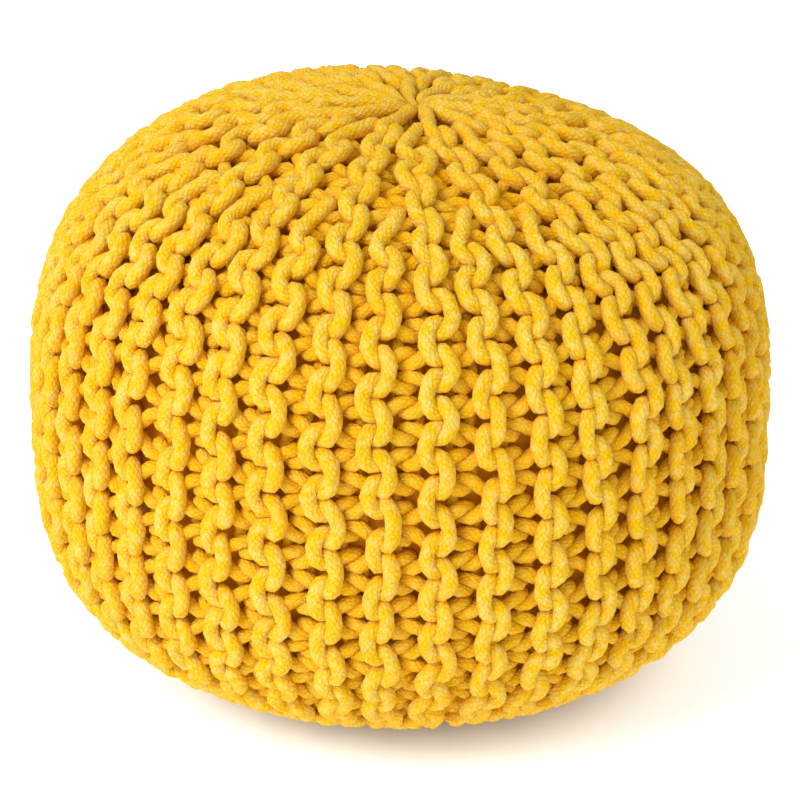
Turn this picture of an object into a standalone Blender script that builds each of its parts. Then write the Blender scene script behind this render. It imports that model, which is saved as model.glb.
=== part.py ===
"""A round pouf: a cover knitted from one thick cord, over a smooth filled casing that shows through its gaps.

Metres, +Z up. The origin is the centre of the flat foot, on the floor. The knitting's rows run from pole to
pole, so the cover is ribbed like a pumpkin: every fourth rib reaches the pole, every second one nearly does,
and the ribs between them are short.
"""

import bisect
import math
import random

import bmesh
import bpy
from mathutils import Vector

# Driving sizes of the filled pouf, measured over the tops of its ribs.
RADIUS = 0.250
HEIGHT = 0.396
WIDEST_HEIGHT = 0.1675
FOOT_SINK = 0.002  # how far the round underside is pressed flat against the floor

# Roundness of the side's outline, across and up. 2 is an ellipse, and more is boxier.
ROUNDNESS_ABOVE = (2.23, 3.20)
ROUNDNESS_BELOW = (2.92, 2.79)

# The knitted cover.
RIBS = 44
FIRST_RIB = math.radians(-2.9)  # the first rib's turn from +X
STITCHES = 22.25  # stitches along a rib, from pole to pole
RIB_DEPTH = 0.011
RIB_HALF_WIDTH = 0.0123
RIB_DEPTH_SHARE = 0.31  # of the space between ribs, where they crowd together
RIB_HALF_SHARE = 0.35
COVER_THICKNESS = 0.010
CLEARANCE = 0.0025  # between the cover and the casing

# Gaps between the ribs. One is cut at every second stitch.
GAP_RINGS = 6
FIRST_GAP = 6.1  # stitches from the pole to the middle of the first full ring
GAP_STEP = 2.0
TOP_GAP = 3.35  # the ring above, between the long ribs only
GAP_HEIGHT = 0.0085
SHOULDERS = (0, 4)  # full rings with one more section below them, where the side bends most

# How uneven the work is.
WANDER = 0.0022
SWELL = 0.0009
SEED = 7

# The crown leans a little: its +X side is lower, and its pole lies off centre in a shallow dimple.
LEAN = 0.0064
POLE_OFFSET = 0.009
POLE_REACH = 0.125
DIMPLE_DEPTH = 0.002
DIMPLE_RADIUS = 0.032

# Colours, roughness: cotton cord, and the smooth cloth of the casing.
CORD_COLOUR = (0.86, 0.56, 0.07, 1.0)
CORD_ROUGHNESS = 0.92
CASING_COLOUR = (0.60, 0.22, 0.012, 1.0)
CASING_ROUGHNESS = 0.85

OUTLINE_SAMPLES = 600
AXIS_RADIUS = 0.001  # nearer the axis than this, a ring is a point
COLUMNS = 3  # grid columns to a rib: its top, then its right and the next rib's left foot


def outline_point(turn):
    """Radius and height on the side's outline. turn runs from 0 at the upper pole to 1 at the lower one."""
    angle = math.pi * (0.5 - turn)
    across, up = ROUNDNESS_ABOVE if angle > 0 else ROUNDNESS_BELOW
    radius = RADIUS * abs(math.cos(angle)) ** (2 / across)
    rise = abs(math.sin(angle)) ** (2 / up)
    if angle > 0:
        return radius, WIDEST_HEIGHT + (HEIGHT - WIDEST_HEIGHT) * rise
    return radius, max(WIDEST_HEIGHT - (WIDEST_HEIGHT + FOOT_SINK) * rise, 0.0)


class Outline:
    """The side's outline, measured along its own length from the upper pole."""

    def __init__(self):
        self.points = [outline_point(i / OUTLINE_SAMPLES) for i in range(OUTLINE_SAMPLES + 1)]
        self.points[0] = (0.0, HEIGHT)
        self.points[-1] = (0.0, 0.0)
        self.lengths = [0.0]
        for (r0, z0), (r1, z1) in zip(self.points, self.points[1:]):
            self.lengths.append(self.lengths[-1] + math.hypot(r1 - r0, z1 - z0))
        self.length = self.lengths[-1]

    def at(self, length):
        """Radius, height and the outward direction there."""
        i = min(max(bisect.bisect_right(self.lengths, length) - 1, 0), OUTLINE_SAMPLES - 1)
        (r0, z0), (r1, z1) = self.points[i], self.points[i + 1]
        step = self.lengths[i + 1] - self.lengths[i]
        share = (length - self.lengths[i]) / step
        out = Vector((z0 - z1, r1 - r0)).normalized()
        return r0 + (r1 - r0) * share, z0 + (z1 - z0) * share, out


OUTLINE = Outline()
STITCH = OUTLINE.length / STITCHES


class Section:
    """One ring of the cover: where it lies, which ribs are there, how far they stand, and whether a gap starts."""

    def __init__(self, stitch, every, stand=1.0, gap=False):
        self.length = stitch * STITCH
        self.every = every
        self.gap = gap
        self.radius, self.height, self.out = OUTLINE.at(self.length)
        self.pitch = 2 * math.pi * self.radius * every / RIBS
        self.depth = stand * min(RIB_DEPTH, RIB_DEPTH_SHARE * self.pitch)
        self.half_width = min(RIB_HALF_WIDTH, RIB_HALF_SHARE * self.pitch)


def gap_sections(stitch, every):
    half = 0.5 * GAP_HEIGHT / STITCH
    return [Section(stitch - half, every, gap=True), Section(stitch + half, every)]


def foot_stitch():
    """Where the outline first meets the floor, in stitches from the upper pole."""
    first = next(i for i, (_, height) in enumerate(OUTLINE.points) if height == 0.0)
    return OUTLINE.lengths[first] / STITCH


def cover_sections():
    """From the upper pole to the lower one: stitch, every nth rib, how far the ribs stand."""
    sections = [
        Section(0.0, 4, 0.0),
        Section(0.55, 4, 0.6),
        Section(1.25, 4),
        Section(1.95, 2),
    ]
    sections += gap_sections(TOP_GAP, 2)
    sections += [Section(4.45, 2), Section(4.95, 1)]
    for ring in range(GAP_RINGS):
        middle = FIRST_GAP + ring * GAP_STEP
        sections += gap_sections(middle, 1)
        if ring in SHOULDERS:
            sections.append(Section(middle + 0.5 * GAP_STEP, 1))
    sections += [
        Section(17.3, 1, 0.8),
        Section(18.1, 2, 0.5),
        Section(foot_stitch(), 2, 0.0),
        Section(STITCHES, 2, 0.0),
    ]
    return sections


def leaned(point):
    """The crown's lean, its dimple and its pole's place, for a point given upright."""
    x, y, z = point
    above = max(z - WIDEST_HEIGHT, 0.0) / (HEIGHT - WIDEST_HEIGHT)
    near_pole = max(1.0 - math.hypot(x, y) / POLE_REACH, 0.0)
    z -= LEAN * math.sin(math.pi * max(-1.0, min(x / RADIUS, 1.0))) * above
    z -= DIMPLE_DEPTH * math.exp(-(math.hypot(x, y) / DIMPLE_RADIUS) ** 2) * above**2
    x += POLE_OFFSET * near_pole**2 * (3 - 2 * near_pole) * above
    return Vector((x, y, z))


class Unevenness:
    """How each rib wanders sideways and stands higher or lower along its length, the same at each run."""

    def __init__(self):
        source = random.Random(SEED)
        self.ribs = [[source.uniform(0, 2 * math.pi) for _ in range(4)] for _ in range(RIBS)]

    def wander(self, rib, length):
        first, second, _, _ = self.ribs[rib % RIBS]
        turn = 2 * math.pi * length / OUTLINE.length
        ends = math.sin(math.pi * length / OUTLINE.length)
        return WANDER * ends * (0.7 * math.sin(1.5 * turn + first) + 0.4 * math.sin(3.5 * turn + second))

    def swell(self, rib, length):
        _, _, third, fourth = self.ribs[rib % RIBS]
        turn = 2 * math.pi * length / OUTLINE.length
        return SWELL * (math.sin(2.0 * turn + third) + 0.6 * math.sin(5.0 * turn + fourth))


def cover_point(section, column, uneven):
    """Where the grid's point lies. Ribs that have ended by this ring draw together into the valley's edges."""
    span = COLUMNS * section.every
    group, place = divmod(column, span)
    rib = group * section.every
    depth = section.depth
    offset = 0.0
    if place == 0:
        depth = max(0.0, -uneven.swell(rib, section.length)) * section.depth / RIB_DEPTH
    elif place <= span // 2:
        offset = section.half_width
    else:
        rib += section.every
        offset = -section.half_width
    sideways = offset + uneven.wander(rib, section.length)
    angle = FIRST_RIB + 2 * math.pi * rib / RIBS
    if section.radius > AXIS_RADIUS:
        angle += sideways / section.radius
    radius = max(section.radius - depth * section.out[0], 0.0)
    height = section.height - depth * section.out[1]
    return leaned((radius * math.cos(angle), radius * math.sin(angle), height))


def is_gap(section, column):
    span = COLUMNS * section.every
    return section.gap and column % span == span // 2


def material(name, colour, roughness):
    made = bpy.data.materials.new(name)
    made.use_nodes = True
    shader = made.node_tree.nodes["Principled BSDF"]
    shader.inputs["Base Color"].default_value = colour
    shader.inputs["Roughness"].default_value = roughness
    shader.inputs["Metallic"].default_value = 0.0
    made.diffuse_color = colour
    return made


def finished(name, mesh, collection, look):
    made = bpy.data.objects.new(name, mesh)
    made.data.materials.append(look)
    collection.objects.link(made)
    mesh.shade_smooth()
    mesh.set_sharp_from_angle(angle=math.radians(50))
    return made


def knit_cover(collection):
    """The ribbed skin: a grid drawn round the outline, with the gaps left out, made thick on its inner side."""
    sections = cover_sections()
    uneven = Unevenness()
    columns = COLUMNS * RIBS
    grid = bmesh.new()
    bmesh.ops.create_grid(grid, x_segments=columns, y_segments=len(sections) - 1, size=0.5)
    cell_of = {}
    for vertex in grid.verts:
        column = round((vertex.co.x + 0.5) * columns)
        row = round((0.5 - vertex.co.y) * (len(sections) - 1))
        cell_of[vertex] = (column, row)
    gaps = []
    for face in grid.faces:
        column = min(cell_of[vertex][0] for vertex in face.verts)
        row = min(cell_of[vertex][1] for vertex in face.verts)
        if is_gap(sections[row], column):
            gaps.append(face)
    for vertex, (column, row) in cell_of.items():
        vertex.co = cover_point(sections[row], column, uneven)
    bmesh.ops.delete(grid, geom=gaps, context="FACES_ONLY")
    bmesh.ops.remove_doubles(grid, verts=grid.verts, dist=0.00002)
    mesh = bpy.data.meshes.new("knit_cover")
    grid.to_mesh(mesh)
    grid.free()
    cover = finished("knit_cover", mesh, collection, material("cord", CORD_COLOUR, CORD_ROUGHNESS))
    thick = cover.modifiers.new("Thickness", "SOLIDIFY")
    thick.thickness = COVER_THICKNESS
    thick.offset = -1.0
    return cover


def casing_outline():
    """Top to bottom, inside the cover's valleys by the clearance."""
    points = []
    for section in cover_sections():
        inset = section.depth + COVER_THICKNESS + CLEARANCE
        radius = max(section.radius - inset * section.out[0], 0.0)
        points.append((radius, section.height - inset * section.out[1]))
    points[0] = (0.0, points[0][1])
    points[-1] = (0.0, points[-1][1])
    return points


def casing(collection):
    """The filled bag inside: its outline turned about the axis, then leaned as the cover is."""
    points = casing_outline()
    profile = bpy.data.meshes.new("casing")
    profile.from_pydata(
        [(radius, 0.0, height) for radius, height in points],
        [(i, i + 1) for i in range(len(points) - 1)],
        [],
    )
    turned = bpy.data.objects.new("turned", profile)
    collection.objects.link(turned)
    screw = turned.modifiers.new("Turn", "SCREW")
    screw.steps = screw.render_steps = RIBS
    screw.use_merge_vertices = True
    screw.merge_threshold = 0.0001
    mesh = bpy.data.meshes.new_from_object(turned.evaluated_get(bpy.context.evaluated_depsgraph_get()))
    bpy.data.objects.remove(turned)
    for vertex in mesh.vertices:
        vertex.co = leaned(vertex.co)
    mesh.name = "casing"
    return finished("casing", mesh, collection, material("casing_cloth", CASING_COLOUR, CASING_ROUGHNESS))


def main():
    for old in list(bpy.data.objects):
        bpy.data.objects.remove(old)
    pouf = bpy.data.collections.new("knitted_pouf")
    bpy.context.scene.collection.children.link(pouf)
    knit_cover(pouf)
    casing(pouf)


main()
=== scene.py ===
"""How the knitted pouf looks: each loop of its thick cord, the filled bag inside, floor, light and camera.

The cover is garter stitch. Each rib of the front is two columns of loops that hook through each other: the
heads of one row on the right and the feet of the next row on the left. Both rows go back between the ribs to
the inner face, where they hook into the neighbouring ribs. The cord is laid out by formula and then settled:
it is drawn tight, kept from passing through itself, and held between the bag and the outline.
"""

import math
import random

import bmesh
import bpy
import numpy as np
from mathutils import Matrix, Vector


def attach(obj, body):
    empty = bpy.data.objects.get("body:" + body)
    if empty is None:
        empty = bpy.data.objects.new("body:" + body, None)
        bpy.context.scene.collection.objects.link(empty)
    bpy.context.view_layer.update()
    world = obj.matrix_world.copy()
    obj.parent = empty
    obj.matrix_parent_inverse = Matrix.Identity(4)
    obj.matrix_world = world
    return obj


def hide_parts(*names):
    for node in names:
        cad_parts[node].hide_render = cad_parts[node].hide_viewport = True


# Sizes of the filled pouf and its ribs, as in the CAD model. All lengths here are in metres.
RADIUS = 0.250
HEIGHT = 0.396
WIDEST_HEIGHT = 0.1675
FOOT_SINK = 0.002
ROUNDNESS_ABOVE = (2.23, 3.20)
ROUNDNESS_BELOW = (2.92, 2.79)
RIBS = 44
STITCHES = 22.25
FIRST_RIB = math.radians(-2.9)
WANDER = 0.0022
WANDER_SEED = 7
LEAN = 0.0064
POLE_OFFSET = 0.009
POLE_REACH = 0.125
DIMPLE_DEPTH = 0.002
DIMPLE_RADIUS = 0.032
CASING_DEPTH = 0.0215  # the bag's surface, below the outline over the ribs
OUTLINE_SAMPLES = 1200
OUTLINE_SMOOTHING = 31  # samples over which the outline's direction is averaged

# The knitting. Every fourth rib is long and reaches the pole, every second one is short, and the others are
# between the two: middle. The first and last stitch of each, counted from the upper pole.
STITCHES_OF = {"long": (1, 20), "middle": (2, 19), "short": (5, 16)}
HEAD_MIDDLE = 0.88  # the middle of stitch 0, in stitches from the pole
CORD_RADIUS = 0.0051  # where it lies in front
LEG_RADIUS = 0.0043  # where it runs back between the ribs, pressed in
POLE_SQUEEZE = 0.018  # nearer the pole than this, the cords are pressed thinner
THINNEST = 0.5  # of their full thickness, at the pole
LOOP_REACH = 0.0055  # how far the loops lie beside the rib's middle
LOOP_DEPTH = 0.014  # how far they go to the front and to the back
LEG_PINCH = 0.15  # how far a loop's legs are drawn together under its head, in stitches
MIDDLE_DEPTH = 0.0125  # the knitting's middle, below the outline
POINTS = 22  # of the cord to a stitch

# The least distances from the axis, so that the formulas hold at the poles.
LEAST_LOOP_RADIUS = 0.004
LEAST_RIB_RADIUS = 0.012
LEAST_POINT_RADIUS = 0.0015
LEAST_BOW_RADIUS = 0.01
LEAST_SHIFT_RADIUS = 0.02

# Settling the cord: drawn tight as it thickens, then made uneven, then drawn tight again.
STEPS = 90
LAST_STEPS = 24
REPEATS = 2  # of the moves in each step
THICKENING = 0.65  # of the steps, over which the cord thickens
STEPS_TO_LOOK = 8  # between two searches for the points that may touch
LOOK_FURTHER = 0.0025
NEXT_POINTS = 4  # of the same cord, that aren't pushed apart
REST_LENGTH = 0.0046  # between two points, which are drawn to halfway between this and their first distance
LONGEST_LAID = 0.0044  # a first distance above this counts as this
STRETCH = 0.45  # the shares of each error that one move mends: in length,
BENDING = 0.16  # in straightness,
PUSH = 0.4  # where cords touch,
LIFT = 0.5  # and where a point lies too deep
FIRST_CONTACT = 0.0044  # how near two cords' middles come, at first
CONTACT = 0.0075  # and at the end, which lets their surfaces press into each other a little
FIRST_OUTERMOST = 0.0015  # outside the outline, at first; at the end the cord's surface just reaches it
FIRST_INNERMOST = 0.0265  # below the outline, at first
INNERMOST = 0.0190  # and at the end

# Making it uneven, and laying the loops in front as the real ones lie.
UNEVEN_SEED = 5
UNEVEN_PLACE = 0.0020
UNEVEN_LENGTH = 0.13  # of the cord in a stitch
UNEVEN_RING = 0.040  # of the cord's radius, all round it
UNEVEN_SIDE = 0.070  # of the cord's radius, at one place of its surface
TUCK = 0.0020  # how far a loop's upper end lies under the one above it
TUCK_WIDTH = 0.004  # beside the rib's middle, where the tilt is at three quarters of its full size
ZIGZAG = 0.0040  # how far the loops bow to their own side, and their ends to the other
LAST_TUCK = 0.12  # of the tuck and the zigzag again after the last steps, which draw them straighter
FRONT_DEPTH = 0.013  # below the outline, where the front begins
FRONT_FADE = 0.006  # from there, until the tuck and the zigzag are full
FRONT_THICKENING = 0.007  # from there, until the cord is at its full thickness
POLE_FADE = 0.06  # nearer the pole than this, the stitches are moved less

SIDES = 12  # of the cord's tube
KNIT_PIECES = 4


def outline_table():
    """The side's outline from pole to pole: length along it, radius, height and outward direction."""
    angle = np.pi * (0.5 - np.linspace(0, 1, OUTLINE_SAMPLES + 1))
    across = np.abs(np.cos(angle))
    up = np.abs(np.sin(angle))
    above = angle > 0
    radius = RADIUS * np.where(above, across ** (2 / ROUNDNESS_ABOVE[0]), across ** (2 / ROUNDNESS_BELOW[0]))
    rise = np.where(above, up ** (2 / ROUNDNESS_ABOVE[1]), up ** (2 / ROUNDNESS_BELOW[1]))
    high = WIDEST_HEIGHT + (HEIGHT - WIDEST_HEIGHT) * rise
    low = np.maximum(WIDEST_HEIGHT - (WIDEST_HEIGHT + FOOT_SINK) * rise, 0)
    height = np.where(above, high, low)
    radius[[0, -1]] = 0
    steps = np.hypot(np.diff(radius), np.diff(height))
    length = np.concatenate([[0], np.cumsum(steps)])
    window = np.ones(OUTLINE_SMOOTHING) / OUTLINE_SMOOTHING
    edge = OUTLINE_SMOOTHING // 2
    out_r = np.convolve(np.pad(-np.gradient(height), edge, mode="edge"), window, "valid")
    out_z = np.convolve(np.pad(np.gradient(radius), edge, mode="edge"), window, "valid")
    size = np.hypot(out_r, out_z)
    out_r, out_z = out_r / size, out_z / size
    out_r[[0, -1]] = 0
    out_z[[0, -1]] = (1, -1)
    return length, radius, height, out_r, out_z


OUTLINE = outline_table()
OUTLINE_LENGTH = OUTLINE[0][-1]
STITCH = OUTLINE_LENGTH / STITCHES


def outline_at(length):
    """The outline's radius, height and outward direction at this length, kept just short of both poles."""
    length = np.clip(length, 1e-4, OUTLINE_LENGTH - 1e-4)
    return [np.interp(length, OUTLINE[0], column) for column in OUTLINE[1:]]


def leaned(points):
    """The crown's lean, its dimple and its pole's place, for points given upright."""
    x, y, z = points.T
    above = np.clip(z - WIDEST_HEIGHT, 0, None) / (HEIGHT - WIDEST_HEIGHT)
    from_axis = np.hypot(x, y)
    near_pole = np.clip(1 - from_axis / POLE_REACH, 0, None)
    lower = LEAN * np.sin(np.pi * np.clip(x / RADIUS, -1, 1)) * above
    dimple = DIMPLE_DEPTH * np.exp(-((from_axis / DIMPLE_RADIUS) ** 2)) * above**2
    moved = x + POLE_OFFSET * near_pole**2 * (3 - 2 * near_pole) * above
    return np.stack([moved, y, z - lower - dimple], 1)


def rib_wander():
    """Each rib's sideways wander along its length, the same waves as the CAD model's."""
    source = random.Random(WANDER_SEED)
    return [[source.uniform(0, 2 * math.pi) for _ in range(4)] for _ in range(RIBS)]


WAVES = rib_wander()


def wander(rib, length):
    first, second, _, _ = WAVES[rib % RIBS]
    turn = 2 * np.pi * length / OUTLINE_LENGTH
    ends = np.sin(np.pi * np.clip(length / OUTLINE_LENGTH, 0, 1))
    return WANDER * ends * (0.7 * np.sin(1.5 * turn + first) + 0.4 * np.sin(3.5 * turn + second))


def kind(rib):
    return ("long", "short", "middle", "short")[rib % 4]


def has_stitch(rib, stitch):
    first, last = STITCHES_OF[kind(rib % RIBS)]
    return first <= stitch <= last


def ribs_to_neighbour(rib, stitch, side):
    """How many ribs away the next one is that has this stitch."""
    for step in (1, 2, 3, 4):
        if has_stitch(rib + side * step, stitch):
            return step
    return 4


def row_of_loops(rib, side):
    """One row's points from the upper end to the lower: stitch, sideways in ribs, depth.

    side is -1 for the row whose heads hook into this rib, and 1 for the row that starts from it."""
    first, last = STITCHES_OF[kind(rib)]
    turn = 2 * np.pi * (np.arange(POINTS) + 0.5) / POINTS
    rows = []
    for stitch in range(first, last + 1):
        middle = (stitch + HEAD_MIDDLE) * STITCH
        radius = max(float(outline_at(middle)[0]), LEAST_LOOP_RADIUS)
        pitch = 2 * math.pi * radius / RIBS
        half_way = ribs_to_neighbour(rib, stitch, side) / 4
        reach = LOOP_REACH / pitch
        along = turn / (2 * np.pi) - 0.5 + LEG_PINCH * np.sin(2 * turn)
        across = side * half_way - (half_way + reach) * np.cos(turn)
        depth = side * LOOP_DEPTH * np.cos(turn)
        rows.append(np.stack([stitch + HEAD_MIDDLE + along, across, depth], 1))
    return np.concatenate(rows)


def along_path(places, count):
    """count points along the places, even in number between each two."""
    places = np.array(places)
    steps = np.linspace(0, len(places) - 1, count)
    columns = [np.interp(steps, np.arange(len(places)), column) for column in places.T]
    return np.stack(columns, 1)


def upper_end(rib):
    """The turn at a rib's upper end, from the hooking row to the starting row.

    It comes from behind, above the legs of the ribs beside it, and down in front of them."""
    first = STITCHES_OF[kind(rib)][0] + HEAD_MIDDLE - 0.5
    if kind(rib) == "long":
        behind = [(first - 0.2, -0.5, -0.016), (first - 0.6, -0.2, -0.018), (first - 1.1, 0.0, -0.017)]
        over = [(0.16, 0.0, -0.012), (0.12, 0.0, -0.004), (0.24, 0.0, 0.004)]
        before = [(first - 0.80, 0.0, 0.010), (first - 0.45, 0.0, 0.013), (first - 0.12, -0.1, 0.014)]
        return along_path(behind + over + before, 26)
    behind = [(first - 0.15, -0.45, -0.014), (first - 0.45, -0.20, -0.016), (first - 0.75, 0.0, -0.014)]
    over = [(first - 0.92, 0.08, -0.004), (first - 0.84, 0.12, 0.007)]
    before = [(first - 0.60, 0.10, 0.012), (first - 0.30, 0.0, 0.014), (first - 0.12, -0.08, 0.014)]
    return along_path(behind + over + before, 16)


def lower_end(rib):
    """The turn at a rib's lower end, from the starting row to the hooking row."""
    last = STITCHES_OF[kind(rib)][1] + HEAD_MIDDLE + 0.5
    if kind(rib) == "long":
        before = [(last + 0.25, 0.0, 0.012), (last + 0.55, 0.0, 0.008), (last + 0.68, 0.0, -0.002)]
        behind = [(last + 0.68, 0.0, -0.010), (last + 0.5, -0.1, -0.016), (last + 0.25, -0.4, -0.016)]
        return along_path(before + behind, 12)
    turn = [(last + 0.18, 0.0, 0.008), (last + 0.30, -0.10, -0.004), (last + 0.15, -0.40, -0.014)]
    return along_path(turn, 4)


def placed(rib, rows):
    """Where the row's points lie in space, upright."""
    along, across, depth = rows.T
    radius, height, out_r, out_z = outline_at(along * STITCH)
    pitch = 2 * np.pi * np.maximum(radius, LEAST_RIB_RADIUS) / RIBS
    depth = depth - MIDDLE_DEPTH
    angle = FIRST_RIB + 2 * math.pi * rib / RIBS
    angle = angle + across * pitch / np.maximum(radius, LEAST_RIB_RADIUS)
    from_axis = np.maximum(radius + depth * out_r, LEAST_POINT_RADIUS)
    return np.stack([from_axis * np.cos(angle), from_axis * np.sin(angle), height + depth * out_z], 1)


def laid_out():
    """The cord before it settles, as one closed loop for each rib."""
    points, after, before, loop = [], [], [], []
    start = 0
    for rib in range(RIBS):
        starting = row_of_loops(rib, 1)
        hooking = row_of_loops(rib, -1)
        # Down the starting row, round the lower end, up the hooking row and round the upper end.
        rows = np.concatenate([starting, lower_end(rib), hooking[::-1], upper_end(rib)])
        count = len(rows)
        order = np.arange(count)
        points.append(placed(rib, rows))
        after.append(start + (order + 1) % count)
        before.append(start + (order - 1) % count)
        loop.append(np.full(count, rib))
        start += count
    return [np.concatenate(part) for part in (points, after, before, loop)]


def close_pairs(points, reach, loop, place, count):
    """Pairs of points nearer to each other than reach, but not next to each other on the cord.

    loop and place say which cord each point is on and its number there, and count is that cord's length."""
    cell = np.floor(points / reach).astype(np.int64)
    cell -= cell.min(0) - 1
    size = cell.max(0) + 2
    key = (cell[:, 0] * size[1] + cell[:, 1]) * size[2] + cell[:, 2]
    order = np.argsort(key, kind="stable")
    ordered = key[order]
    ways = [(a, b, c) for a in (-1, 0, 1) for b in (-1, 0, 1) for c in (-1, 0, 1) if (a, b, c) >= (0, 0, 0)]
    firsts, seconds = [], []
    for a, b, c in ways:
        other = key + (a * size[1] + b) * size[2] + c
        low = np.searchsorted(ordered, other, "left")
        found = np.searchsorted(ordered, other, "right") - low
        first = np.repeat(np.arange(len(points)), found)
        skipped = np.concatenate([[0], np.cumsum(found)[:-1]])
        second = order[np.repeat(low - skipped, found) + np.arange(found.sum())]
        if (a, b, c) == (0, 0, 0):
            once = second > first
            first, second = first[once], second[once]
        apart = points[first] - points[second]
        near = (apart * apart).sum(1) < reach * reach
        firsts.append(first[near])
        seconds.append(second[near])
    first = np.concatenate(firsts)
    second = np.concatenate(seconds)
    between = np.abs(place[first] - place[second])
    between = np.minimum(between, count[first] - between)
    free = (loop[first] != loop[second]) | (between > NEXT_POINTS)
    return first[free], second[free]


FIELD_RADIUS = 0.27
FIELD_LOW = -0.02
FIELD_HIGH = 0.42
FIELD_COLUMNS = 136
FIELD_ROWS = 221
FIELD_SKIP = 4  # only every fourth sample of the outline is compared


def distance_field():
    """How far outside the outline each place of a grid is, and the outline's direction there."""
    radii = np.linspace(0, FIELD_RADIUS, FIELD_COLUMNS)
    heights = np.linspace(FIELD_LOW, FIELD_HIGH, FIELD_ROWS)
    radius, height, out_r, out_z = [column[::FIELD_SKIP] for column in OUTLINE[1:]]
    field = np.empty((3, len(radii), len(heights)))
    for i, place in enumerate(radii):
        aside = place - radius[None]
        above = heights[:, None] - height[None]
        nearest = (aside**2 + above**2).argmin(1)
        rows = np.arange(len(heights))
        field[0, i] = aside[0, nearest] * out_r[nearest] + above[rows, nearest] * out_z[nearest]
        field[1, i] = out_r[nearest]
        field[2, i] = out_z[nearest]
    return field


def read_field(field, from_axis, z):
    """The field's three values at each point, smooth between the grid's places."""
    u = np.clip(from_axis / FIELD_RADIUS * (field.shape[1] - 1), 0, field.shape[1] - 1.001)
    v = np.clip((z - FIELD_LOW) / (FIELD_HIGH - FIELD_LOW) * (field.shape[2] - 1), 0, field.shape[2] - 1.001)
    i = u.astype(int)
    j = v.astype(int)
    a = u - i
    b = v - j
    lower = field[:, i, j] * (1 - a) + field[:, i + 1, j] * a
    upper = field[:, i, j + 1] * (1 - a) + field[:, i + 1, j + 1] * a
    return lower * (1 - b) + upper * b


def summed(index, values, count):
    """The sum of the values that belong to each of count points."""
    return np.stack([np.bincount(index, values[:, axis], count) for axis in range(3)], 1)


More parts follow.
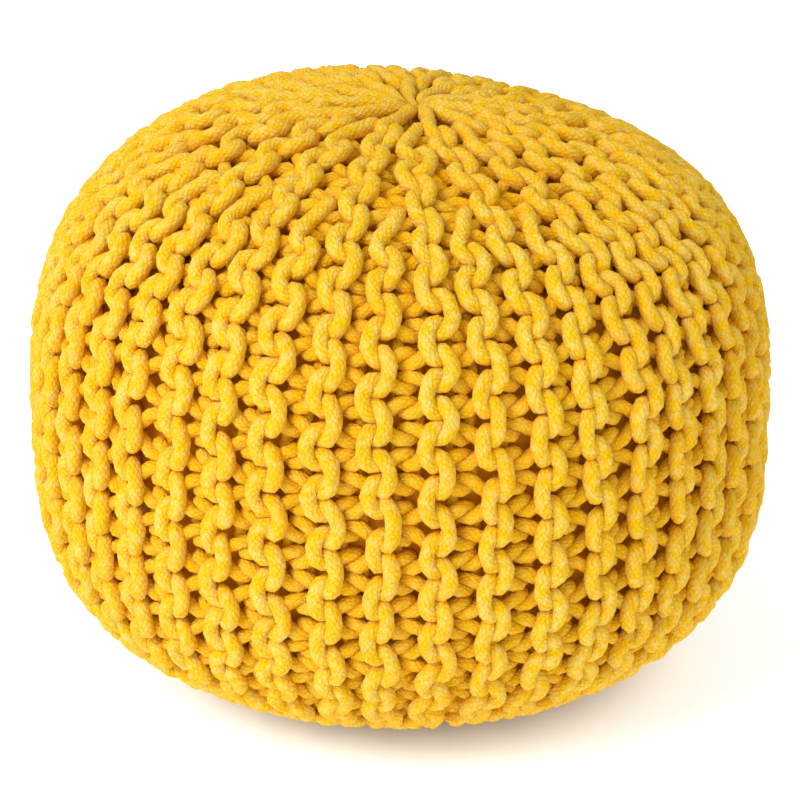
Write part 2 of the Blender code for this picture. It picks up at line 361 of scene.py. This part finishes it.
class Cord:
    """The cord's points, and the steps that draw it tight."""

    def __init__(self):
        self.points, self.after, self.before, self.loop = laid_out()
        self.count = len(self.points)
        self.place = np.zeros(self.count, int)
        self.size = np.zeros(self.count, int)
        for rib in range(RIBS):
            own = np.flatnonzero(self.loop == rib)
            self.place[own] = np.arange(len(own))
            self.size[own] = len(own)
        gap = np.linalg.norm(self.points[self.after] - self.points, axis=1)
        self.rest = 0.5 * (np.minimum(gap, LONGEST_LAID) + REST_LENGTH)[:, None]
        self.field = distance_field()

    def outside(self):
        """Each point's distance from the axis, and how far outside the outline it is, with the way out."""
        from_axis = np.hypot(self.points[:, 0], self.points[:, 1])
        return from_axis, read_field(self.field, from_axis, self.points[:, 2])

    def draw_tight(self):
        ahead = self.points[self.after] - self.points
        length = np.linalg.norm(ahead, axis=1, keepdims=True)
        pull = STRETCH * (length - self.rest) / length * ahead
        self.points = self.points + pull - pull[self.before]

    def straighten(self):
        bend = BENDING * (0.5 * (self.points[self.after] + self.points[self.before]) - self.points)
        self.points = self.points + bend - 0.5 * bend[self.before] - 0.5 * bend[self.after]

    def push_apart(self, pairs, contact):
        first, second = pairs
        apart = self.points[second] - self.points[first]
        squared = (apart * apart).sum(1)
        thin = squeezed(self.points)
        contact = contact * 0.5 * (thin[first] + thin[second])
        touching = squared < contact * contact
        gap = np.sqrt(squared[touching])
        push = (PUSH * (contact[touching] - gap) / gap)[:, None] * apart[touching]
        moved = summed(second[touching], push, self.count) - summed(first[touching], push, self.count)
        self.points = self.points + moved

    def hold(self, outer, inner):
        """Brings points back between two depths, at once from outside and partly from inside."""
        from_axis, (outside, out_r, out_z) = self.outside()
        move = np.minimum(outer - outside, 0) + LIFT * np.maximum(inner - outside, 0)
        out_r = out_r / np.maximum(from_axis, 1e-6)
        way = np.stack([out_r * self.points[:, 0], out_r * self.points[:, 1], out_z], 1)
        self.points = self.points + move[:, None] * way

    def settle(self, steps, first_grown):
        """Draws the cord tight while it thickens, from first_grown of its thickness to all of it."""
        for step in range(steps):
            grown = min(1.0, first_grown + step / (THICKENING * steps))
            contact = FIRST_CONTACT + (CONTACT - FIRST_CONTACT) * grown
            outer = -CORD_RADIUS * grown + FIRST_OUTERMOST * (1 - grown)
            inner = -INNERMOST * grown - FIRST_INNERMOST * (1 - grown)
            if step % STEPS_TO_LOOK == 0:
                reach = contact + LOOK_FURTHER
                pairs = close_pairs(self.points, reach, self.loop, self.place, self.size)
            for _ in range(REPEATS):
                self.draw_tight()
                self.straighten()
                self.push_apart(pairs, contact)
                self.hold(outer, inner)

    def tuck(self, share=1.0):
        """Tilts the loops in front like tiles, each one's upper end under the loop above, and bows them.

        share is how much of the full tilt and bow they get."""
        x, y, z = self.points.T
        from_axis, (outside, out_r, out_z) = self.outside()
        turn = np.arctan2(y, x) - FIRST_RIB - 2 * np.pi * self.loop / RIBS
        aside = from_axis * ((turn + np.pi) % (2 * np.pi) - np.pi)
        stitch = self.nearest_length(from_axis, z) / STITCH
        front = np.clip((outside + FRONT_DEPTH) / FRONT_FADE, 0, 1)
        slope = np.cos(2 * np.pi * (stitch - HEAD_MIDDLE + 0.25))
        tilt = -TUCK * share * front * np.tanh(aside / TUCK_WIDTH) * slope
        phase = np.cos(2 * np.pi * (stitch - HEAD_MIDDLE))
        away = np.clip(from_axis / POLE_FADE - 0.8, 0, 1)
        bow = ZIGZAG * share * away * front * phase / np.maximum(from_axis, LEAST_BOW_RADIUS)
        x, y = x * np.cos(bow) - y * np.sin(bow), x * np.sin(bow) + y * np.cos(bow)
        out_r = out_r / np.maximum(from_axis, 1e-6)
        move = tilt[:, None] * np.stack([out_r * x, out_r * y, out_z], 1)
        self.points = np.stack([x, y, z], 1) + move

    def make_uneven(self):
        """Moves the stitches a little, by one smooth shift of all space, and gives each its own length."""
        source = np.random.default_rng(UNEVEN_SEED)
        stitches = math.ceil(STITCHES) + 2
        shift = source.normal(0, UNEVEN_PLACE, (2, RIBS, stitches))
        for rib in range(RIBS):
            shift[1, rib] += wander(rib, np.arange(stitches) * STITCH)
        x, y, z = self.points.T
        from_axis = np.hypot(x, y)
        angle = np.arctan2(y, x)
        nearest = self.nearest_length(from_axis, z)
        rib = ((angle - FIRST_RIB) / (2 * np.pi) * RIBS) % RIBS
        along, across = read_waves(shift, rib, nearest / STITCH)
        fade = np.clip(from_axis / POLE_FADE, 0, 1) ** 2
        angle = angle + across * fade / np.maximum(from_axis, LEAST_SHIFT_RADIUS)
        _, (_, out_r, out_z) = self.outside()
        from_axis = from_axis + along * fade * out_z
        z = z - along * fade * out_r
        self.points = np.stack([from_axis * np.cos(angle), from_axis * np.sin(angle), z], 1)
        stretch = source.normal(0, UNEVEN_LENGTH, 2 * RIBS * stitches)
        self.rest = self.rest * (1 + stretch[self.loop * 2 * stitches + self.place // POINTS])[:, None]

    def nearest_length(self, from_axis, z):
        """Where on the outline each point lies, by the turn about the pouf's middle."""
        turn = np.arctan2(from_axis, z - WIDEST_HEIGHT)
        own = np.arctan2(OUTLINE[1], OUTLINE[2] - WIDEST_HEIGHT)
        return np.interp(turn, own, OUTLINE[0])


def read_waves(shift, rib, stitch):
    """Smooth values between those given for each rib and stitch."""
    i = np.floor(rib).astype(int)
    j = np.clip(np.floor(stitch).astype(int), 0, shift.shape[2] - 2)
    a = rib - i
    b = np.clip(stitch - j, 0, 1)
    a = a * a * (3 - 2 * a)
    b = b * b * (3 - 2 * b)
    low = shift[:, i % RIBS, j] * (1 - a) + shift[:, (i + 1) % RIBS, j] * a
    high = shift[:, i % RIBS, j + 1] * (1 - a) + shift[:, (i + 1) % RIBS, j + 1] * a
    return low * (1 - b) + high * b


def squeezed(points):
    """Each point's share of the full thickness, which is less where the cords crowd at a pole."""
    return np.clip(np.hypot(points[:, 0], points[:, 1]) / POLE_SQUEEZE, THINNEST, 1)


def cord_radii(cord):
    """Each point's radius, less where the cord is pressed in, and how much it lies in front, 0 to 1."""
    outside = cord.outside()[1][0]
    front = np.clip((outside + FRONT_DEPTH) / FRONT_THICKENING, 0, 1)
    front = front * front * (3 - 2 * front)
    return (LEG_RADIUS + (CORD_RADIUS - LEG_RADIUS) * front) * squeezed(cord.points), front


def tube(points, radii, uneven):
    """A closed tube round the points: its corners, faces and the unrolled place of each face corner."""
    count = len(points)
    direction = np.roll(points, -1, 0) - np.roll(points, 1, 0)
    direction /= np.linalg.norm(direction, axis=1, keepdims=True)
    side = np.zeros_like(points)
    current = np.cross(direction[0], (0.0, 0.0, 1.0))
    for i in range(count):
        current = current - direction[i] * current.dot(direction[i])
        current /= np.linalg.norm(current)
        side[i] = current
    # The last ring's turn against the first is spread along the tube, so that it closes without a twist.
    other = np.cross(direction, side)
    left_over = math.atan2(float(current.dot(other[0])), float(current.dot(side[0])))
    angle = 2 * np.pi * np.arange(SIDES) / SIDES
    angle = angle[None] - left_over * np.arange(count)[:, None] / count
    ring_uneven = uneven.normal(0, UNEVEN_RING, (count, 1))
    side_uneven = uneven.normal(0, UNEVEN_SIDE, (count, SIDES))
    thick = radii[:, None] * (1 + ring_uneven + side_uneven)
    ring = np.cos(angle)[..., None] * side[:, None] + np.sin(angle)[..., None] * other[:, None]
    corners = (points[:, None] + thick[..., None] * ring).reshape(-1, 3)
    corners[:, 2] = np.maximum(corners[:, 2], 0)
    i = np.arange(count)[:, None]
    k = np.arange(SIDES)[None]
    ahead = (i + 1) % count
    beside = (k + 1) % SIDES
    faces = np.stack([i * SIDES + k, i * SIDES + beside, ahead * SIDES + beside, ahead * SIDES + k], -1)
    along = np.concatenate([[0], np.cumsum(np.linalg.norm(np.roll(points, -1, 0) - points, axis=1))])
    low = np.broadcast_to(along[:-1][:, None], (count, SIDES))
    high = np.broadcast_to(along[1:][:, None], (count, SIDES))
    left = np.broadcast_to(k / SIDES, (count, SIDES))
    right = np.broadcast_to((k + 1) / SIDES, (count, SIDES))
    unrolled = np.stack([left, low, right, low, right, high, left, high], -1).reshape(-1, 2)
    return corners, faces.reshape(-1, 4), unrolled


def mesh_from(name, corners, faces, unrolled):
    """A smooth mesh of four-sided faces, with each face corner's unrolled place as its UV map."""
    mesh = bpy.data.meshes.new(name)
    mesh.vertices.add(len(corners))
    mesh.vertices.foreach_set("co", corners.astype(np.float32).ravel())
    mesh.loops.add(faces.size)
    mesh.loops.foreach_set("vertex_index", faces.astype(np.int32).ravel())
    mesh.polygons.add(len(faces))
    mesh.polygons.foreach_set("loop_start", np.arange(0, faces.size, 4, dtype=np.int32))
    mesh.uv_layers.new(name="unrolled")
    mesh.uv_layers["unrolled"].data.foreach_set("uv", unrolled.astype(np.float32).ravel())
    mesh.update(calc_edges=True)
    mesh.shade_smooth()
    return mesh


def knit_pieces(look):
    """The settled cord's loops as tubes, in a few pieces side by side."""
    cord = Cord()
    cord.settle(STEPS, 0.0)
    cord.tuck()
    cord.make_uneven()
    cord.settle(LAST_STEPS, 1.0)
    cord.tuck(LAST_TUCK)
    radii, front = cord_radii(cord)
    points = leaned(cord.points)
    uneven = np.random.default_rng(UNEVEN_SEED + 1)
    made = []
    for piece in range(KNIT_PIECES):
        corners, faces, unrolled, fronts = [], [], [], []
        start = 0
        for rib in range(piece * RIBS // KNIT_PIECES, (piece + 1) * RIBS // KNIT_PIECES):
            own = cord.loop == rib
            tube_corners, tube_faces, tube_unrolled = tube(points[own], radii[own], uneven)
            corners.append(tube_corners)
            faces.append(tube_faces + start)
            unrolled.append(tube_unrolled)
            fronts.append(np.repeat(front[own], SIDES))
            start += len(tube_corners)
        name = f"knit_{piece + 1}"
        parts = [np.concatenate(part) for part in (corners, faces, unrolled)]
        knit = bpy.data.objects.new(name, mesh_from(name, *parts))
        in_front = knit.data.attributes.new("front", "FLOAT", "POINT")
        in_front.data.foreach_set("value", np.concatenate(fronts).astype(np.float32))
        knit.data.materials.append(look)
        bpy.context.collection.objects.link(knit)
        made.append(knit)
    return made


BAG_ROWS = 90
BAG_COLUMNS = 140
BAG_COLUMN_WIDTH = 0.011  # of the cloth
BROAD_SWELL = 0.0008
SMALL_SWELL = 0.0006
SAME_PLACE = 1e-5  # corners nearer to each other than this are made one


def bag(look):
    """The filled bag: the outline, moved in and turned about the axis, with soft hollows and swellings."""
    rows, columns = BAG_ROWS, BAG_COLUMNS
    lengths = np.linspace(0, OUTLINE_LENGTH, rows + 1)
    radius, height, out_r, out_z = outline_at(lengths)
    angle = 2 * np.pi * np.arange(columns) / columns
    swell = BROAD_SWELL * np.sin(5 * angle)[None] * np.sin(lengths * 40)[:, None]
    swell = swell + SMALL_SWELL * np.sin(11 * angle + 1.0)[None] * np.cos(lengths * 63)[:, None]
    inward = CASING_DEPTH + swell
    from_axis = np.maximum(radius[:, None] - inward * out_r[:, None], 0)
    z = height[:, None] - inward * out_z[:, None]
    from_axis[[0, -1]] = 0
    z[0] = z[0].mean()
    z[-1] = z[-1].mean()
    corners = np.stack([from_axis * np.cos(angle), from_axis * np.sin(angle), z], -1).reshape(-1, 3)
    corners = leaned(corners)
    upper = np.arange(rows)[:, None] * columns
    lower = upper + columns
    k = np.arange(columns)[None]
    beside = (k + 1) % columns
    faces = np.stack([upper + k, lower + k, lower + beside, upper + beside], -1).reshape(-1, 4)
    left = np.broadcast_to(k * BAG_COLUMN_WIDTH, (rows, columns))
    right = left + BAG_COLUMN_WIDTH
    low = np.broadcast_to(lengths[:-1][:, None], (rows, columns))
    high = np.broadcast_to(lengths[1:][:, None], (rows, columns))
    unrolled = np.stack([left, low, left, high, right, high, right, low], -1).reshape(-1, 2)
    made = bpy.data.objects.new("filled_bag", mesh_from("filled_bag", corners, faces, unrolled))
    # The first and the last row are one corner each, at the poles.
    work = bmesh.new()
    work.from_mesh(made.data)
    bmesh.ops.remove_doubles(work, verts=work.verts, dist=SAME_PLACE)
    work.to_mesh(made.data)
    work.free()
    made.data.materials.append(look)
    bpy.context.collection.objects.link(made)
    return made


class Shader:
    """A new material's nodes, with a short way to add and join them."""

    def __init__(self, name):
        self.material = bpy.data.materials.new(name)
        self.material.use_nodes = True
        self.nodes = self.material.node_tree.nodes
        self.surface = self.nodes["Principled BSDF"]

    def join(self, value, socket):
        """Links the value to the socket where it is another node's output, and sets it where it is plain."""
        if isinstance(value, bpy.types.NodeSocket):
            self.material.node_tree.links.new(value, socket)
        else:
            socket.default_value = value

    def math(self, operation, first, second=0.0):
        node = self.nodes.new("ShaderNodeMath")
        node.operation = operation
        self.join(first, node.inputs[0])
        self.join(second, node.inputs[1])
        return node.outputs[0]

    def times(self, value, factor, start=0.0):
        """factor times the value, on top of start."""
        return self.math("ADD", self.math("MULTIPLY", value, factor), start)

    def noise(self, place, scale, detail=2.0, roughness=0.5):
        node = self.nodes.new("ShaderNodeTexNoise")
        self.join(place, node.inputs["Vector"])
        node.inputs["Scale"].default_value = scale
        node.inputs["Detail"].default_value = detail
        node.inputs["Roughness"].default_value = roughness
        return node.outputs["Fac"]

    def ramp(self, value, low, high):
        """0 up to low, 1 from high, smooth between."""
        node = self.nodes.new("ShaderNodeMapRange")
        node.interpolation_type = "SMOOTHSTEP"
        self.join(value, node.inputs["Value"])
        node.inputs["From Min"].default_value = low
        node.inputs["From Max"].default_value = high
        return node.outputs["Result"]

    def mix(self, share, first, second):
        """The first colour where share is 0, the second where it is 1."""
        node = self.nodes.new("ShaderNodeMix")
        node.data_type = "RGBA"
        self.join(share, node.inputs["Factor"])
        # The node's colour sockets have these numbers.
        self.join(first, node.inputs[6])
        self.join(second, node.inputs[7])
        return node.outputs[2]

    def vector(self, x, y, z):
        node = self.nodes.new("ShaderNodeCombineXYZ")
        for value, socket in zip((x, y, z), node.inputs):
            self.join(value, socket)
        return node.outputs[0]

    def unrolled(self):
        """The two coordinates of the surface laid flat."""
        place = self.nodes.new("ShaderNodeUVMap")
        place.uv_map = "unrolled"
        split = self.nodes.new("ShaderNodeSeparateXYZ")
        self.join(place.outputs[0], split.inputs[0])
        return split.outputs[0], split.outputs[1]

    def attribute(self, name):
        node = self.nodes.new("ShaderNodeAttribute")
        node.attribute_name = name
        return node.outputs["Fac"]

    def object_place(self):
        return self.nodes.new("ShaderNodeTexCoord").outputs["Object"]

    def bump(self, height, distance, strength=1.0, under=None):
        node = self.nodes.new("ShaderNodeBump")
        node.inputs["Strength"].default_value = strength
        node.inputs["Distance"].default_value = distance
        self.join(height, node.inputs["Height"])
        if under is not None:
            self.join(under, node.inputs["Normal"])
        return node.outputs[0]


# CORD_DEEP: the cord's deeper tone in broad patches, and painted shade between the lumps and on the legs.
CORD_DEEP = (0.99, 0.450, 0.001, 1.0)
CORD_BODY = (0.98, 0.600, 0.005, 1.0)
# CORD_PALE: pale fibre patches, and a painted highlight where the cord lies in front.
CORD_PALE = (0.98, 0.750, 0.250, 1.0)
CORD_FLECK = (0.45, 0.22, 0.015, 1.0)
BRAID_STRANDS = 8
BRAID_TURN = 166.0  # radians round the cord for each metre along it
BRAID_WOBBLE = 5.0  # how far the strands stray at most, where a strand is pi wide
BRAID_SHARE = 0.55  # of the braid in the lumps
PATCH_SHARE = 0.95  # of the patches in the lumps
LUMP_HEIGHT = 0.0011
FIBRE_HEIGHT = 0.0005

# How fine each noise in the materials is: the larger, the finer.
PATCHES = 170.0
BROAD_PATCHES = 14.0
SPECKS = 620.0
FIBRES = 7.0
FIBRES_ALONG = 130.0  # for each metre of cord
CLOUDS = 55.0
FLOOR_GRAIN = 3.0


def cord_material():
    """Matt braided cotton: two crossing sets of strands, each with fine fibres along it."""
    shader = Shader("cord_cotton")
    around, along = shader.unrolled()
    place = shader.object_place()
    front = shader.attribute("front")
    patches = shader.noise(place, PATCHES, 3.0, 0.65)
    broad = shader.noise(place, BROAD_PATCHES, 2.0, 0.5)
    specks = shader.noise(place, SPECKS, 1.0, 0.5)

    wobble = shader.math("MULTIPLY", patches, BRAID_WOBBLE)
    turn = shader.math("MULTIPLY", around, 2 * math.pi)
    twist = shader.math("MULTIPLY", along, BRAID_TURN)
    fibre_place = shader.math("MULTIPLY", along, FIBRES_ALONG)
    heights, fibres = [], []
    for sign in ("ADD", "SUBTRACT"):
        angle = shader.math(sign, turn, twist)
        strand = shader.times(angle, 0.5 * BRAID_STRANDS, wobble)
        heights.append(shader.math("ABSOLUTE", shader.math("SINE", strand)))
        round_cord = shader.vector(shader.math("COSINE", angle), shader.math("SINE", angle), fibre_place)
        fibres.append(shader.noise(round_cord, FIBRES, 3.0, 0.6))
    fibre = shader.math("MAXIMUM", fibres[0], fibres[1])
    braid = shader.math("POWER", shader.math("MULTIPLY", heights[0], heights[1]), 0.5)
    lumps = shader.times(braid, BRAID_SHARE, shader.math("MULTIPLY", patches, PATCH_SHARE))

    # The colour: painted shade, deeper between the braid's lumps and on the legs set back between the ribs.
    raised = shader.times(shader.ramp(lumps, 0.45, 0.95), 0.45, 0.55)
    proud = shader.times(front, 0.3, 0.7)
    body = shader.mix(shader.math("MULTIPLY", raised, proud), CORD_DEEP, CORD_BODY)
    soft = shader.times(shader.ramp(fibre, 0.40, 0.64), 0.6, 0.25)
    pale = shader.math("MULTIPLY", shader.ramp(patches, 0.40, 0.68), soft)
    # Painted highlight: the pale patches are stronger where the cord lies in front.
    highlight_in_front = shader.times(front, 0.6, 0.3)
    colour = shader.mix(shader.math("MULTIPLY", pale, highlight_in_front), body, CORD_PALE)
    deeper = shader.math("MULTIPLY", shader.ramp(broad, 0.3, 0.7), 0.25)
    colour = shader.mix(deeper, colour, CORD_DEEP)
    fleck = shader.math("MULTIPLY", shader.ramp(specks, 0.68, 0.76), 0.3)
    shader.join(shader.mix(fleck, colour, CORD_FLECK), shader.surface.inputs["Base Color"])

    fine = shader.bump(fibre, FIBRE_HEIGHT)
    shader.join(shader.bump(lumps, LUMP_HEIGHT, 1.0, fine), shader.surface.inputs["Normal"])
    shader.join(shader.times(fibre, 0.12, 0.86), shader.surface.inputs["Roughness"])
    shader.surface.inputs["Specular IOR Level"].default_value = 0.12
    shader.surface.inputs["Sheen Weight"].default_value = 0.06
    shader.surface.inputs["Sheen Roughness"].default_value = 0.6
    shader.surface.inputs["Sheen Tint"].default_value = (1.0, 0.80, 0.35, 1.0)
    return shader.material


CLOTH_BODY = (0.99, 0.46, 0.008, 1.0)
CLOTH_DEEP = (0.99, 0.40, 0.004, 1.0)
THREADS = 1600.0  # for each metre
WEAVE_HEIGHT = 0.0002


def cloth_material():
    """The bag's smooth cloth: a fine plain weave, a little uneven in colour."""
    shader = Shader("bag_cloth")
    across, along = shader.unrolled()
    weft = shader.math("SINE", shader.math("MULTIPLY", across, THREADS * math.pi))
    warp = shader.math("SINE", shader.math("MULTIPLY", along, THREADS * math.pi))
    weave = shader.math("MULTIPLY", weft, warp)
    cloud = shader.noise(shader.object_place(), CLOUDS, 3.0, 0.6)
    colour = shader.mix(shader.ramp(cloud, 0.35, 0.65), CLOTH_DEEP, CLOTH_BODY)
    shader.join(colour, shader.surface.inputs["Base Color"])
    shader.join(shader.bump(weave, WEAVE_HEIGHT, 0.6), shader.surface.inputs["Normal"])
    shader.join(shader.times(cloud, 0.1, 0.75), shader.surface.inputs["Roughness"])
    shader.surface.inputs["Specular IOR Level"].default_value = 0.25
    return shader.material


FLOOR_HALF = 30.0  # of its width
FLOOR_FIRST = (0.71, 0.77, 0.86, 1.0)
FLOOR_SECOND = (0.73, 0.79, 0.88, 1.0)
SHADOW_MIDDLE = (0.012, 0.0, 0.0)
SHADOW_REACH = (0.115, 0.195)  # from its middle, where the shadow begins to fade and where it ends
LEAST_GLOW = 0.09  # in the shadow's middle
FLOOR_GLOW = 0.48  # on top of it, beyond the shadow


def floor():
    """A pale floor that fills the view and glows, less in a painted shadow round the pouf's foot."""
    shader = Shader("pale_floor")
    place = shader.object_place()
    colour = shader.mix(shader.noise(place, FLOOR_GRAIN), FLOOR_FIRST, FLOOR_SECOND)
    shader.join(colour, shader.surface.inputs["Base Color"])
    # Painted shadow: the glow is least near SHADOW_MIDDLE and full beyond SHADOW_REACH.
    apart = shader.nodes.new("ShaderNodeVectorMath")
    apart.operation = "DISTANCE"
    shader.join(place, apart.inputs[0])
    shader.join(SHADOW_MIDDLE, apart.inputs[1])
    glow = shader.times(shader.ramp(apart.outputs["Value"], *SHADOW_REACH), FLOOR_GLOW, LEAST_GLOW)
    shader.join(glow, shader.surface.inputs["Emission Strength"])
    shader.surface.inputs["Emission Color"].default_value = (1.0, 1.0, 1.0, 1.0)
    shader.surface.inputs["Roughness"].default_value = 0.7
    far = FLOOR_HALF
    mesh = bpy.data.meshes.new("floor")
    mesh.from_pydata([(-far, -far, 0), (far, -far, 0), (far, far, 0), (-far, far, 0)], [], [(0, 1, 2, 3)])
    made = bpy.data.objects.new("floor", mesh)
    made.data.materials.append(shader.material)
    bpy.context.collection.objects.link(made)


WORLD_STRENGTH = 0.66
KEY_PLACE = (-1.9, -2.0, 2.5)
KEY_TOWARDS = (0.0, 0.0, 0.2)
KEY_WIDTH = 1.6
KEY_POWER = 77.0


def light():
    """White light from all around, and one large soft light in front, high on the left."""
    world = bpy.data.worlds.new("studio")
    world.use_nodes = True
    world.node_tree.nodes["Background"].inputs["Color"].default_value = (1.0, 1.0, 1.0, 1.0)
    world.node_tree.nodes["Background"].inputs["Strength"].default_value = WORLD_STRENGTH
    bpy.context.scene.world = world
    lamp = bpy.data.lights.new("key", "AREA")
    lamp.shape = "RECTANGLE"
    lamp.size = KEY_WIDTH
    lamp.size_y = KEY_WIDTH
    lamp.energy = KEY_POWER
    made = bpy.data.objects.new("key", lamp)
    made.location = KEY_PLACE
    made.rotation_euler = (Vector(KEY_TOWARDS) - Vector(KEY_PLACE)).to_track_quat("-Z", "Y").to_euler()
    bpy.context.collection.objects.link(made)
    bpy.context.scene.view_settings.view_transform = "Standard"


CAMERA_RISE = math.radians(22.1)
CAMERA_DISTANCE = 2.0
LENS = 132.6
SHIFT_DOWN = 0.0309


def camera():
    """The photograph's view: in front of the pouf and above it."""
    back = Vector((0.0, -math.cos(CAMERA_RISE), math.sin(CAMERA_RISE)))
    lens = bpy.data.cameras.new("camera")
    lens.lens = LENS
    lens.shift_y = -SHIFT_DOWN
    made = bpy.data.objects.new("camera", lens)
    made.location = Vector((0.0, 0.0, HEIGHT / 2)) + back * CAMERA_DISTANCE
    made.rotation_euler = (-back).to_track_quat("-Z", "Y").to_euler()
    bpy.context.collection.objects.link(made)
    bpy.context.scene.camera = made


def main():
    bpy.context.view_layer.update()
    camera()
    light()
    floor()
    for knit in knit_pieces(cord_material()):
        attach(knit, "root")
        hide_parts("knit_cover")
    filled = bag(cloth_material())
    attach(filled, "root")
    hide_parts("casing")


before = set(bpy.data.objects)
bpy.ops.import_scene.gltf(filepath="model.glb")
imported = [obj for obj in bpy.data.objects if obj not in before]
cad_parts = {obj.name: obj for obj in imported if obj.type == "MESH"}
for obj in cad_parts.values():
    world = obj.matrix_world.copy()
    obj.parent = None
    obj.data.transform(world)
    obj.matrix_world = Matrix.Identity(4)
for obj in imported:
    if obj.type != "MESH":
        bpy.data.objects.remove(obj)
main()
